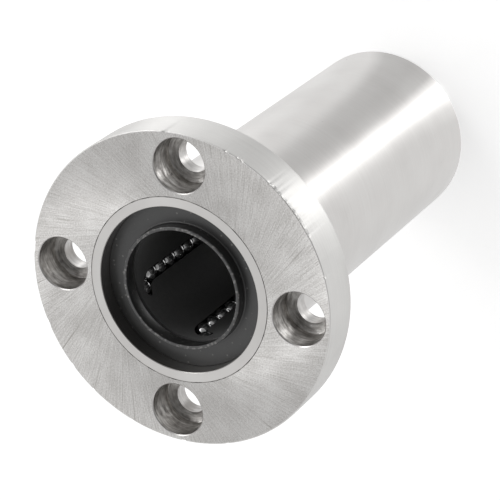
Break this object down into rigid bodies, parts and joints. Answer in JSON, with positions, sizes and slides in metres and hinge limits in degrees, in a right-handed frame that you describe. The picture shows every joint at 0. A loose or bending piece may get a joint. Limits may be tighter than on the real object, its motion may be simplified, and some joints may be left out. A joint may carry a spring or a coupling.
{
  "type": "flanged linear bearing",
  "caption": "Long linear ball bushing with a round counterbored flange at one end, rubber wipers at both ends and two retainers of recirculating balls.",
  "frame": {"origin": "centre of the flange's back face, on the bore axis", "axes": "+Z along the bore axis, out of the counterbored front of the flange; +X through a screw hole"},
  "size_m": [0.054, 0.054, 0.08],
  "materials": {
    "flange_steel": "turned and brushed",
    "cylinder_steel": "ground",
    "ring_steel": "plain",
    "ball_steel": "polished",
    "seal_rubber": "moulded matt",
    "retainer_resin": "moulded"
  },
  "bodies": {
    "housing": {"flange": "flange_steel", "outer_cylinder": "cylinder_steel", "front_seal": "seal_rubber", "rear_seal": "seal_rubber", "front_side_ring": "ring_steel", "rear_side_ring": "ring_steel", "front_retainer": "retainer_resin", "rear_retainer": "retainer_resin", "spacer_ring": "retainer_resin"},
    "front_circuit_1_loaded": {"front_circuit_1_loaded_balls": "ball_steel"},
    "front_circuit_1_return": {"front_circuit_1_return_balls": "ball_steel"},
    "front_circuit_1_front_turn": {"front_circuit_1_front_turn_balls": "ball_steel"},
    "front_circuit_1_tail_turn": {"front_circuit_1_tail_turn_balls": "ball_steel"},
    "front_circuit_2_loaded": {"front_circuit_2_loaded_balls": "ball_steel"},
    "front_circuit_2_return": {"front_circuit_2_return_balls": "ball_steel"},
    "front_circuit_2_front_turn": {"front_circuit_2_front_turn_balls": "ball_steel"},
    "front_circuit_2_tail_turn": {"front_circuit_2_tail_turn_balls": "ball_steel"},
    "front_circuit_3_loaded": {"front_circuit_3_loaded_balls": "ball_steel"},
    "front_circuit_3_return": {"front_circuit_3_return_balls": "ball_steel"},
    "front_circuit_3_front_turn": {"front_circuit_3_front_turn_balls": "ball_steel"},
    "front_circuit_3_tail_turn": {"front_circuit_3_tail_turn_balls": "ball_steel"},
    "front_circuit_4_loaded": {"front_circuit_4_loaded_balls": "ball_steel"},
    "front_circuit_4_return": {"front_circuit_4_return_balls": "ball_steel"},
    "front_circuit_4_front_turn": {"front_circuit_4_front_turn_balls": "ball_steel"},
    "front_circuit_4_tail_turn": {"front_circuit_4_tail_turn_balls": "ball_steel"},
    "front_circuit_5_loaded": {"front_circuit_5_loaded_balls": "ball_steel"},
    "front_circuit_5_return": {"front_circuit_5_return_balls": "ball_steel"},
    "front_circuit_5_front_turn": {"front_circuit_5_front_turn_balls": "ball_steel"},
    "front_circuit_5_tail_turn": {"front_circuit_5_tail_turn_balls": "ball_steel"},
    "rear_circuit_1_loaded": {"rear_circuit_1_loaded_balls": "ball_steel"},
    "rear_circuit_1_return": {"rear_circuit_1_return_balls": "ball_steel"},
    "rear_circuit_1_front_turn": {"rear_circuit_1_front_turn_balls": "ball_steel"},
    "rear_circuit_1_tail_turn": {"rear_circuit_1_tail_turn_balls": "ball_steel"},
    "rear_circuit_2_loaded": {"rear_circuit_2_loaded_balls": "ball_steel"},
    "rear_circuit_2_return": {"rear_circuit_2_return_balls": "ball_steel"},
    "rear_circuit_2_front_turn": {"rear_circuit_2_front_turn_balls": "ball_steel"},
    "rear_circuit_2_tail_turn": {"rear_circuit_2_tail_turn_balls": "ball_steel"},
    "rear_circuit_3_loaded": {"rear_circuit_3_loaded_balls": "ball_steel"},
    "rear_circuit_3_return": {"rear_circuit_3_return_balls": "ball_steel"},
    "rear_circuit_3_front_turn": {"rear_circuit_3_front_turn_balls": "ball_steel"},
    "rear_circuit_3_tail_turn": {"rear_circuit_3_tail_turn_balls": "ball_steel"},
    "rear_circuit_4_loaded": {"rear_circuit_4_loaded_balls": "ball_steel"},
    "rear_circuit_4_return": {"rear_circuit_4_return_balls": "ball_steel"},
    "rear_circuit_4_front_turn": {"rear_circuit_4_front_turn_balls": "ball_steel"},
    "rear_circuit_4_tail_turn": {"rear_circuit_4_tail_turn_balls": "ball_steel"},
    "rear_circuit_5_loaded": {"rear_circuit_5_loaded_balls": "ball_steel"},
    "rear_circuit_5_return": {"rear_circuit_5_return_balls": "ball_steel"},
    "rear_circuit_5_front_turn": {"rear_circuit_5_front_turn_balls": "ball_steel"},
    "rear_circuit_5_tail_turn": {"rear_circuit_5_tail_turn_balls": "ball_steel"}
  },
  "joints": [
    {"name": "front_circuit_1_roll", "type": "slide", "parent": "housing", "child": "front_circuit_1_loaded", "axis": [0, 0, 1], "range_m": [-0.00265, 0.00054]},
    {"name": "front_circuit_1_return_roll", "type": "slide", "parent": "housing", "child": "front_circuit_1_return", "axis": [0, 0, -1], "range_m": [-0.00265, 0.00054]},
    {"name": "front_circuit_1_front_turn_roll", "type": "hinge", "parent": "housing", "child": "front_circuit_1_front_turn", "pos_m": [0.00827, 0.00845, -0.00119], "axis": [-0.8251, -0.565, 0], "range_deg": [-74.71, 15.31]},
    {"name": "front_circuit_1_tail_turn_roll", "type": "hinge", "parent": "housing", "child": "front_circuit_1_tail_turn", "pos_m": [0.00827, 0.00845, -0.02675], "axis": [-0.8251, -0.565, 0], "range_deg": [-74.71, 15.31]},
    {"name": "front_circuit_2_roll", "type": "slide", "parent": "housing", "child": "front_circuit_2_loaded", "axis": [0, 0, 1], "range_m": [-0.00265, 0.00054]},
    {"name": "front_circuit_2_return_roll", "type": "slide", "parent": "housing", "child": "front_circuit_2_return", "axis": [0, 0, -1], "range_m": [-0.00265, 0.00054]},
    {"name": "front_circuit_2_front_turn_roll", "type": "hinge", "parent": "housing", "child": "front_circuit_2_front_turn", "pos_m": [-0.00548, 0.01048, -0.00119], "axis": [0.2823, -0.9593, 0], "range_deg": [-74.71, 15.31]},
    {"name": "front_circuit_2_tail_turn_roll", "type": "hinge", "parent": "housing", "child": "front_circuit_2_tail_turn", "pos_m": [-0.00548, 0.01048, -0.02675], "axis": [0.2823, -0.9593, 0], "range_deg": [-74.71, 15.31]},
    {"name": "front_circuit_3_roll", "type": "slide", "parent": "housing", "child": "front_circuit_3_loaded", "axis": [0, 0, 1], "range_m": [-0.00265, 0.00054]},
    {"name": "front_circuit_3_return_roll", "type": "slide", "parent": "housing", "child": "front_circuit_3_return", "axis": [0, 0, -1], "range_m": [-0.00265, 0.00054]},
    {"name": "front_circuit_3_front_turn_roll", "type": "hinge", "parent": "housing", "child": "front_circuit_3_front_turn", "pos_m": [-0.01166, -0.00198, -0.00119], "axis": [0.9996, -0.0279, 0], "range_deg": [-74.71, 15.31]},
    {"name": "front_circuit_3_tail_turn_roll", "type": "hinge", "parent": "housing", "child": "front_circuit_3_tail_turn", "pos_m": [-0.01166, -0.00198, -0.02675], "axis": [0.9996, -0.0279, 0], "range_deg": [-74.71, 15.31]},
    {"name": "front_circuit_4_roll", "type": "slide", "parent": "housing", "child": "front_circuit_4_loaded", "axis": [0, 0, 1], "range_m": [-0.00265, 0.00054]},
    {"name": "front_circuit_4_return_roll", "type": "slide", "parent": "housing", "child": "front_circuit_4_return", "axis": [0, 0, -1], "range_m": [-0.00265, 0.00054]},
    {"name": "front_circuit_4_front_turn_roll", "type": "hinge", "parent": "housing", "child": "front_circuit_4_front_turn", "pos_m": [-0.00172, -0.0117, -0.00119], "axis": [0.3355, 0.9421, 0], "range_deg": [-74.71, 15.31]},
    {"name": "front_circuit_4_tail_turn_roll", "type": "hinge", "parent": "housing", "child": "front_circuit_4_tail_turn", "pos_m": [-0.00172, -0.0117, -0.02675], "axis": [0.3355, 0.9421, 0], "range_deg": [-74.71, 15.31]},
    {"name": "front_circuit_5_roll", "type": "slide", "parent": "housing", "child": "front_circuit_5_loaded", "axis": [0, 0, 1], "range_m": [-0.00265, 0.00054]},
    {"name": "front_circuit_5_return_roll", "type": "slide", "parent": "housing", "child": "front_circuit_5_return", "axis": [0, 0, -1], "range_m": [-0.00265, 0.00054]},
    {"name": "front_circuit_5_front_turn_roll", "type": "hinge", "parent": "housing", "child": "front_circuit_5_front_turn", "pos_m": [0.01059, -0.00525, -0.00119], "axis": [-0.7923, 0.6101, 0], "range_deg": [-74.71, 15.31]},
    {"name": "front_circuit_5_tail_turn_roll", "type": "hinge", "parent": "housing", "child": "front_circuit_5_tail_turn", "pos_m": [0.01059, -0.00525, -0.02675], "axis": [-0.7923, 0.6101, 0], "range_deg": [-74.71, 15.31]},
    {"name": "rear_circuit_1_roll", "type": "slide", "parent": "housing", "child": "rear_circuit_1_loaded", "axis": [0, 0, 1], "range_m": [-0.00265, 0.00054]},
    {"name": "rear_circuit_1_return_roll", "type": "slide", "parent": "housing", "child": "rear_circuit_1_return", "axis": [0, 0, -1], "range_m": [-0.00265, 0.00054]},
    {"name": "rear_circuit_1_front_turn_roll", "type": "hinge", "parent": "housing", "child": "rear_circuit_1_front_turn", "pos_m": [0.00827, 0.00845, -0.03725], "axis": [-0.8251, -0.565, 0], "range_deg": [-74.71, 15.31]},
    {"name": "rear_circuit_1_tail_turn_roll", "type": "hinge", "parent": "housing", "child": "rear_circuit_1_tail_turn", "pos_m": [0.00827, 0.00845, -0.06281], "axis": [-0.8251, -0.565, 0], "range_deg": [-74.71, 15.31]},
    {"name": "rear_circuit_2_roll", "type": "slide", "parent": "housing", "child": "rear_circuit_2_loaded", "axis": [0, 0, 1], "range_m": [-0.00265, 0.00054]},
    {"name": "rear_circuit_2_return_roll", "type": "slide", "parent": "housing", "child": "rear_circuit_2_return", "axis": [0, 0, -1], "range_m": [-0.00265, 0.00054]},
    {"name": "rear_circuit_2_front_turn_roll", "type": "hinge", "parent": "housing", "child": "rear_circuit_2_front_turn", "pos_m": [-0.00548, 0.01048, -0.03725], "axis": [0.2823, -0.9593, 0], "range_deg": [-74.71, 15.31]},
    {"name": "rear_circuit_2_tail_turn_roll", "type": "hinge", "parent": "housing", "child": "rear_circuit_2_tail_turn", "pos_m": [-0.00548, 0.01048, -0.06281], "axis": [0.2823, -0.9593, 0], "range_deg": [-74.71, 15.31]},
    {"name": "rear_circuit_3_roll", "type": "slide", "parent": "housing", "child": "rear_circuit_3_loaded", "axis": [0, 0, 1], "range_m": [-0.00265, 0.00054]},
    {"name": "rear_circuit_3_return_roll", "type": "slide", "parent": "housing", "child": "rear_circuit_3_return", "axis": [0, 0, -1], "range_m": [-0.00265, 0.00054]},
    {"name": "rear_circuit_3_front_turn_roll", "type": "hinge", "parent": "housing", "child": "rear_circuit_3_front_turn", "pos_m": [-0.01166, -0.00198, -0.03725], "axis": [0.9996, -0.0279, 0], "range_deg": [-74.71, 15.31]},
    {"name": "rear_circuit_3_tail_turn_roll", "type": "hinge", "parent": "housing", "child": "rear_circuit_3_tail_turn", "pos_m": [-0.01166, -0.00198, -0.06281], "axis": [0.9996, -0.0279, 0], "range_deg": [-74.71, 15.31]},
    {"name": "rear_circuit_4_roll", "type": "slide", "parent": "housing", "child": "rear_circuit_4_loaded", "axis": [0, 0, 1], "range_m": [-0.00265, 0.00054]},
    {"name": "rear_circuit_4_return_roll", "type": "slide", "parent": "housing", "child": "rear_circuit_4_return", "axis": [0, 0, -1], "range_m": [-0.00265, 0.00054]},
    {"name": "rear_circuit_4_front_turn_roll", "type": "hinge", "parent": "housing", "child": "rear_circuit_4_front_turn", "pos_m": [-0.00172, -0.0117, -0.03725], "axis": [0.3355, 0.9421, 0], "range_deg": [-74.71, 15.31]},
    {"name": "rear_circuit_4_tail_turn_roll", "type": "hinge", "parent": "housing", "child": "rear_circuit_4_tail_turn", "pos_m": [-0.00172, -0.0117, -0.06281], "axis": [0.3355, 0.9421, 0], "range_deg": [-74.71, 15.31]},
    {"name": "rear_circuit_5_roll", "type": "slide", "parent": "housing", "child": "rear_circuit_5_loaded", "axis": [0, 0, 1], "range_m": [-0.00265, 0.00054]},
    {"name": "rear_circuit_5_return_roll", "type": "slide", "parent": "housing", "child": "rear_circuit_5_return", "axis": [0, 0, -1], "range_m": [-0.00265, 0.00054]},
    {"name": "rear_circuit_5_front_turn_roll", "type": "hinge", "parent": "housing", "child": "rear_circuit_5_front_turn", "pos_m": [0.01059, -0.00525, -0.03725], "axis": [-0.7923, 0.6101, 0], "range_deg": [-74.71, 15.31]},
    {"name": "rear_circuit_5_tail_turn_roll", "type": "hinge", "parent": "housing", "child": "rear_circuit_5_tail_turn", "pos_m": [0.01059, -0.00525, -0.06281], "axis": [-0.7923, 0.6101, 0], "range_deg": [-74.71, 15.31]}
  ],
  "couplings": [
    {"joint": "front_circuit_1_return_roll", "follows": "front_circuit_1_roll", "ratio": 1},
    {"joint": "front_circuit_1_front_turn_roll", "follows": "front_circuit_1_roll", "rad_per_m": 491.64},
    {"joint": "front_circuit_1_tail_turn_roll", "follows": "front_circuit_1_roll", "rad_per_m": 491.64},
    {"joint": "front_circuit_2_return_roll", "follows": "front_circuit_2_roll", "ratio": 1},
    {"joint": "front_circuit_2_front_turn_roll", "follows": "front_circuit_2_roll", "rad_per_m": 491.64},
    {"joint": "front_circuit_2_tail_turn_roll", "follows": "front_circuit_2_roll", "rad_per_m": 491.64},
    {"joint": "front_circuit_3_return_roll", "follows": "front_circuit_3_roll", "ratio": 1},
    {"joint": "front_circuit_3_front_turn_roll", "follows": "front_circuit_3_roll", "rad_per_m": 491.64},
    {"joint": "front_circuit_3_tail_turn_roll", "follows": "front_circuit_3_roll", "rad_per_m": 491.64},
    {"joint": "front_circuit_4_return_roll", "follows": "front_circuit_4_roll", "ratio": 1},
    {"joint": "front_circuit_4_front_turn_roll", "follows": "front_circuit_4_roll", "rad_per_m": 491.64},
    {"joint": "front_circuit_4_tail_turn_roll", "follows": "front_circuit_4_roll", "rad_per_m": 491.64},
    {"joint": "front_circuit_5_return_roll", "follows": "front_circuit_5_roll", "ratio": 1},
    {"joint": "front_circuit_5_front_turn_roll", "follows": "front_circuit_5_roll", "rad_per_m": 491.64},
    {"joint": "front_circuit_5_tail_turn_roll", "follows": "front_circuit_5_roll", "rad_per_m": 491.64},
    {"joint": "rear_circuit_1_return_roll", "follows": "rear_circuit_1_roll", "ratio": 1},
    {"joint": "rear_circuit_1_front_turn_roll", "follows": "rear_circuit_1_roll", "rad_per_m": 491.64},
    {"joint": "rear_circuit_1_tail_turn_roll", "follows": "rear_circuit_1_roll", "rad_per_m": 491.64},
    {"joint": "rear_circuit_2_return_roll", "follows": "rear_circuit_2_roll", "ratio": 1},
    {"joint": "rear_circuit_2_front_turn_roll", "follows": "rear_circuit_2_roll", "rad_per_m": 491.64},
    {"joint": "rear_circuit_2_tail_turn_roll", "follows": "rear_circuit_2_roll", "rad_per_m": 491.64},
    {"joint": "rear_circuit_3_return_roll", "follows": "rear_circuit_3_roll", "ratio": 1},
    {"joint": "rear_circuit_3_front_turn_roll", "follows": "rear_circuit_3_roll", "rad_per_m": 491.64},
    {"joint": "rear_circuit_3_tail_turn_roll", "follows": "rear_circuit_3_roll", "rad_per_m": 491.64},
    {"joint": "rear_circuit_4_return_roll", "follows": "rear_circuit_4_roll", "ratio": 1},
    {"joint": "rear_circuit_4_front_turn_roll", "follows": "rear_circuit_4_roll", "rad_per_m": 491.64},
    {"joint": "rear_circuit_4_tail_turn_roll", "follows": "rear_circuit_4_roll", "rad_per_m": 491.64},
    {"joint": "rear_circuit_5_return_roll", "follows": "rear_circuit_5_roll", "ratio": 1},
    {"joint": "rear_circuit_5_front_turn_roll", "follows": "rear_circuit_5_roll", "rad_per_m": 491.64},
    {"joint": "rear_circuit_5_tail_turn_roll", "follows": "rear_circuit_5_roll", "rad_per_m": 491.64}
  ]
}
